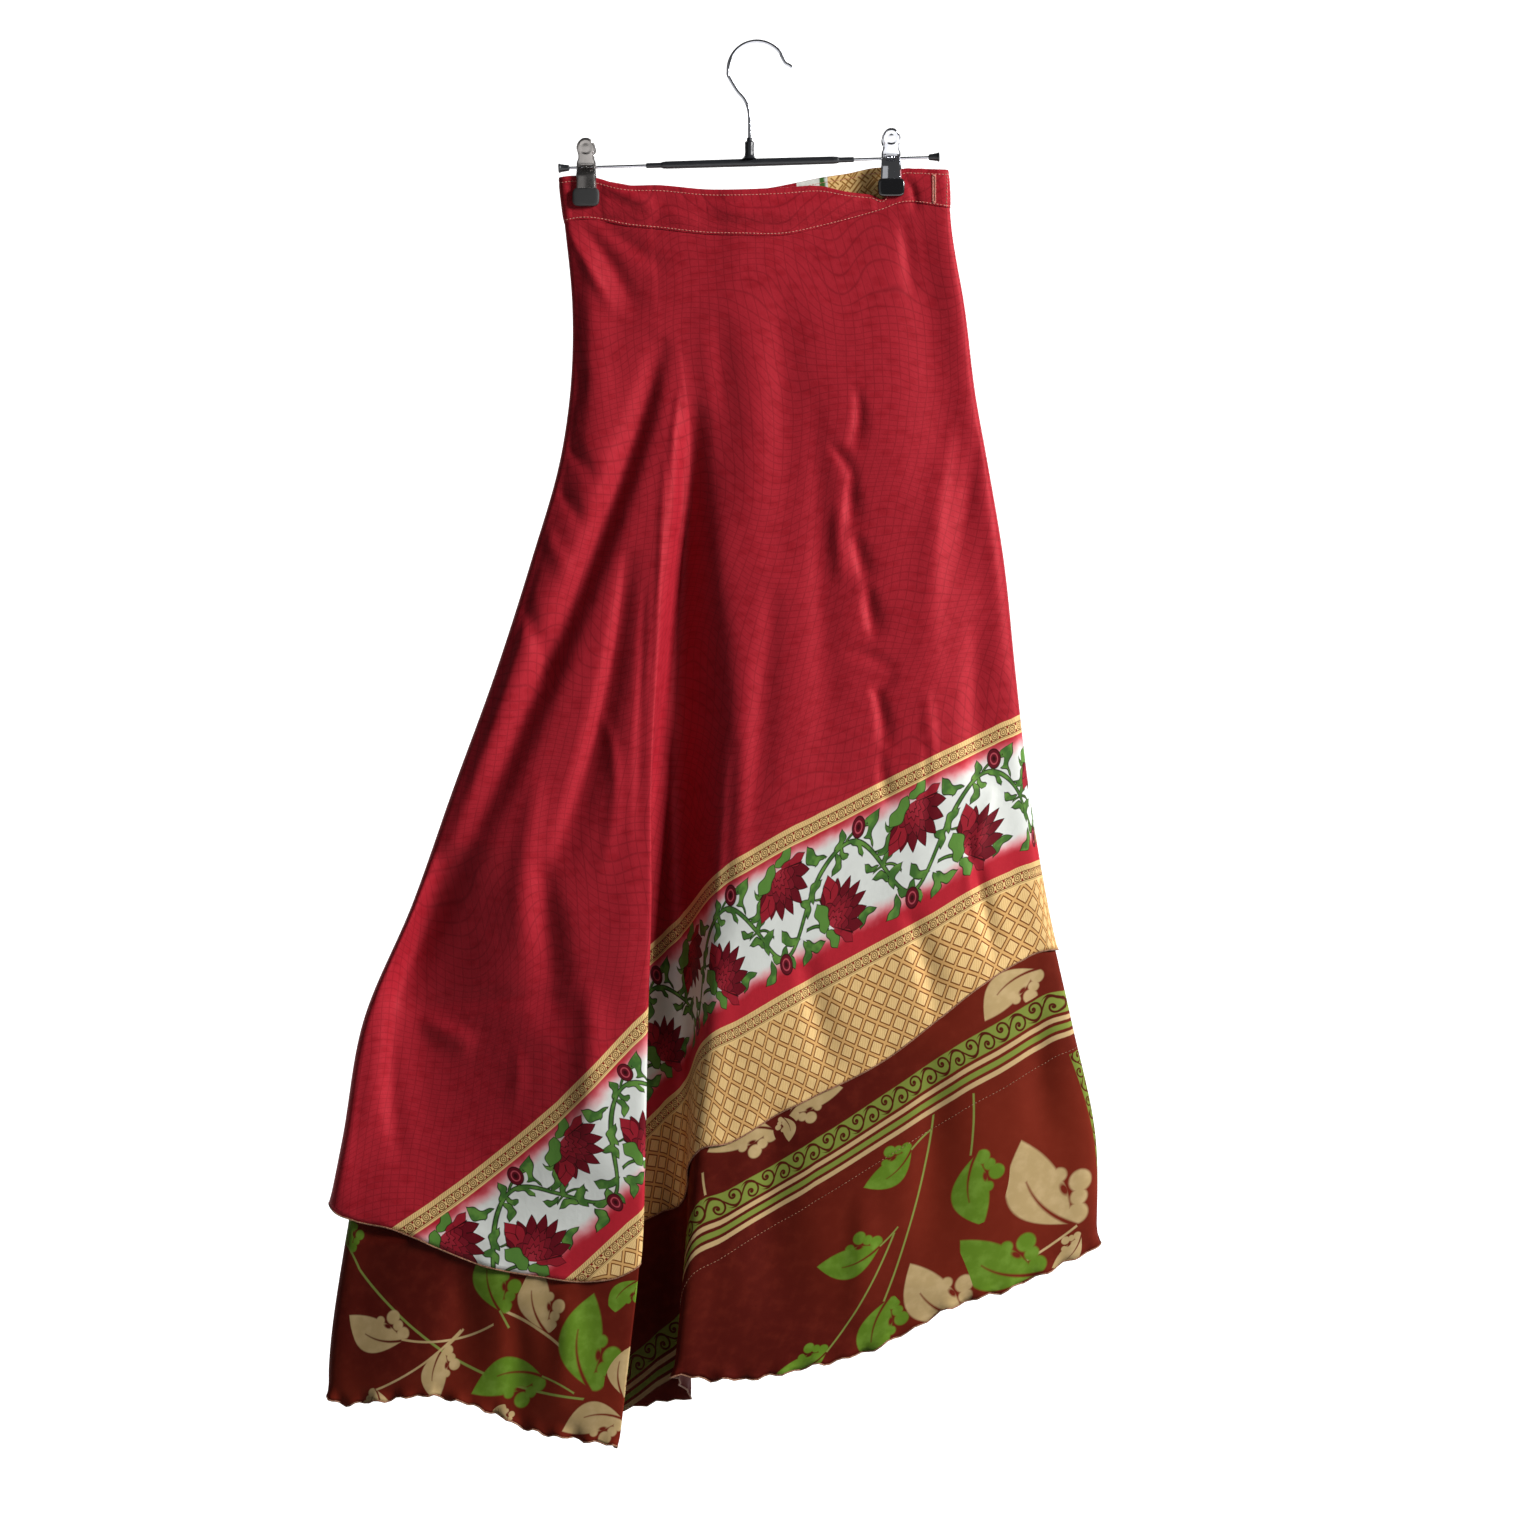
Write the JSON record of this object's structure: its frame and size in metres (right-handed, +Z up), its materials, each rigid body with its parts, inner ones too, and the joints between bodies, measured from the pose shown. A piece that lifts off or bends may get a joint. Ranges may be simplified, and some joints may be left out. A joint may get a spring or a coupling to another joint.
{
  "type": "wrap skirt on clip hanger",
  "caption": "Two-layer wrap skirt with a slanting printed border, held flat by its waistband in the sprung clips of a slim hanger.",
  "frame": {"origin": "inside top of the hook, where it hangs on a rail", "axes": "+Z up, the seen side of the skirt faces -Y, +X to the right as that side is faced"},
  "size_m": [0.6701, 0.1242, 1.2155],
  "materials": {
    "outer_cloth": "red satin-weave sari cloth with a faint grid print and a printed floral and lattice border",
    "inner_cloth": "brown sari cloth printed with leaves and a scroll border",
    "band_cloth": "folded red cloth, top-stitched, its inner face pieced from printed border",
    "chrome_wire": "bright chromed wire",
    "clip_metal": "nickel-plated pressed steel",
    "black_plastic": "moulded black plastic, satin",
    "black_rubber": "black dipped rubber"
  },
  "bodies": {
    "root": {"hook": "chrome_wire", "hook_socket": "black_plastic", "centre_sleeve": "black_plastic", "bar_left": "chrome_wire", "bar_right": "chrome_wire", "end_cap_left": "black_plastic", "end_cap_right": "black_plastic", "clip_left_front_plate": "clip_metal", "clip_left_rear_plate": "clip_metal", "clip_left_front_jaw": "black_rubber", "clip_left_rear_jaw": "black_rubber", "clip_left_spring": "clip_metal", "clip_right_front_plate": "clip_metal", "clip_right_rear_plate": "clip_metal", "clip_right_front_jaw": "black_rubber", "clip_right_rear_jaw": "black_rubber", "clip_right_spring": "clip_metal", "band_back": "band_cloth", "band_over": "band_cloth", "band_under": "band_cloth", "tie_over": "band_cloth", "tie_under": "band_cloth", "outer_back": "outer_cloth", "outer_over": "outer_cloth", "outer_under": "outer_cloth", "inner_back": "inner_cloth", "inner_over": "inner_cloth", "inner_under": "inner_cloth", "inner_lower_back": "inner_cloth", "inner_lower_over": "inner_cloth"}
  },
  "joints": []
}
